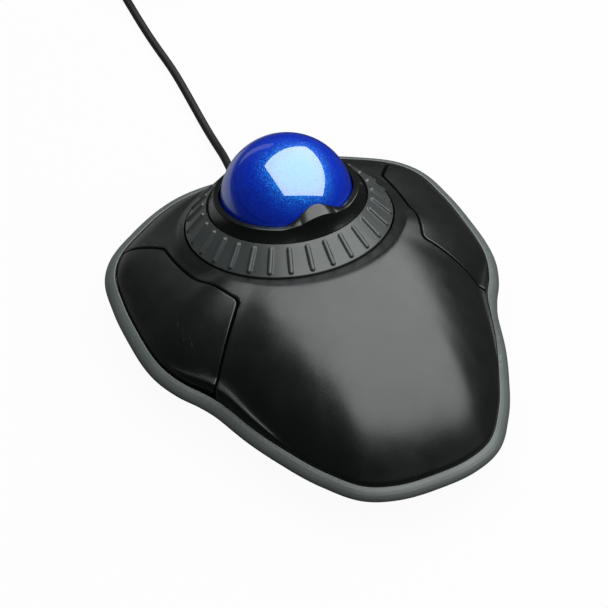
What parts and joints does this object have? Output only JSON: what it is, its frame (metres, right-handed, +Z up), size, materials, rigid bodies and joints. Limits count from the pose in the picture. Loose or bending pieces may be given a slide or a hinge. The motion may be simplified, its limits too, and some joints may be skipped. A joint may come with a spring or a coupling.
{
  "type": "trackball mouse",
  "caption": "Corded desk trackball with a ball held in a ribbed scroll ring, two sprung wing buttons, a long palm rest and a coiled cord with plug.",
  "frame": {"origin": "on the desk, under the middle of the body's plan without the cord", "axes": "+Z up, +Y towards the cord, +X to the user's right; the user sits at -Y"},
  "size_m": [0.1579, 0.2881, 0.0575],
  "materials": {
    "base_plastic": "fine moulded texture, near black",
    "band_plastic": "satin grey",
    "cover_plastic": "satin charcoal, soft highlight",
    "ring_plastic": "satin mid grey",
    "collar_plastic": "polished black",
    "ball_blue": "pearl blue with fine speckle under clear gloss",
    "ball_core": "solid dark blue resin",
    "frame_plastic": "plain moulded black",
    "bearing_steel": "polished",
    "screw_steel": "zinc plated",
    "pin_steel": "ground",
    "foot_rubber": "matt, slightly soft",
    "board_green": "solder mask",
    "chip_black": "moulded epoxy",
    "lens_clear": "clear moulded",
    "led_red": "tinted clear",
    "capacitor_can": "satin can",
    "socket_white": "ivory nylon",
    "switch_black": "moulded",
    "plunger_red": "moulded",
    "sensor_black": "moulded",
    "cord_rubber": "smooth, slightly satin jacket",
    "tie_plastic": "soft strap",
    "plug_plastic": "fine moulded grip",
    "plug_metal": "nickel plated",
    "tongue_white": "moulded"
  },
  "bodies": {
    "housing": {"base_shell": "base_plastic", "rubber_feet": "foot_rubber", "rim_band": "band_plastic", "top_cover": "cover_plastic", "ball_cradle": "frame_plastic", "support_bearings": "bearing_steel", "ball_collar": "collar_plastic", "ring_track": "frame_plastic", "ring_sensor": "sensor_black", "ring_sensor_board": "board_green", "main_pcb": "board_green", "optical_sensor": "chip_black", "sensor_lens": "lens_clear", "sensor_led": "led_red", "controller_chip": "chip_black", "capacitors": "capacitor_can", "cable_socket": "socket_white", "inner_cable": "cord_rubber", "housing_screws": "screw_steel", "board_screws": "screw_steel", "right_switch": "switch_black", "left_switch": "switch_black", "right_hinge_pin": "pin_steel", "left_hinge_pin": "pin_steel", "strain_relief": "cord_rubber", "cord_run": "cord_rubber", "cord_coil": "cord_rubber", "cord_tail": "cord_rubber", "coil_tie": "tie_plastic", "usb_plug_body": "plug_plastic", "usb_plug_shell": "plug_metal", "usb_plug_tongue": "tongue_white"},
    "left_button": {"left_button": "cover_plastic"},
    "right_button": {"right_button": "cover_plastic"},
    "left_plunger": {"left_switch_plunger": "plunger_red"},
    "right_plunger": {"right_switch_plunger": "plunger_red"},
    "scroll_ring": {"scroll_ring": "ring_plastic", "encoder_ring": "chip_black"},
    "ball_core": {"ball_core": "ball_core"},
    "ball": {"trackball": "ball_blue"}
  },
  "joints": [
    {"name": "left_button_press", "type": "hinge", "parent": "housing", "child": "left_button", "pos_m": [-0.0335, 0.0208, 0.021], "axis": [0, -1, 0], "range_deg": [0, 2], "stiffness_Nm_per_rad": 0.05, "springref_deg": -5.16},
    {"name": "right_button_press", "type": "hinge", "parent": "housing", "child": "right_button", "pos_m": [0.0335, 0.0208, 0.021], "axis": [0, 1, 0], "range_deg": [0, 2], "stiffness_Nm_per_rad": 0.05, "springref_deg": -5.16},
    {"name": "left_plunger_slide", "type": "slide", "parent": "housing", "child": "left_plunger", "axis": [0, 0, -1], "range_m": [0, 0.0004]},
    {"name": "right_plunger_slide", "type": "slide", "parent": "housing", "child": "right_plunger", "axis": [0, 0, -1], "range_m": [0, 0.0004]},
    {"name": "ring_scroll", "type": "hinge", "parent": "housing", "child": "scroll_ring", "pos_m": [0, 0.0326, 0.0375], "axis": [0, 0.2504, 0.9681], "continuous": true},
    {"name": "ball_roll_up_down", "type": "hinge", "parent": "housing", "child": "ball_core", "pos_m": [0, 0.0326, 0.0375], "axis": [1, 0, 0], "continuous": true},
    {"name": "ball_roll_left_right", "type": "hinge", "parent": "ball_core", "child": "ball", "pos_m": [0, 0.0326, 0.0375], "axis": [0, 1, 0], "continuous": true}
  ],
  "couplings": [
    {"joint": "left_plunger_slide", "follows": "left_button_press", "m_per_rad": 0.0105},
    {"joint": "right_plunger_slide", "follows": "right_button_press", "m_per_rad": 0.0105}
  ]
}
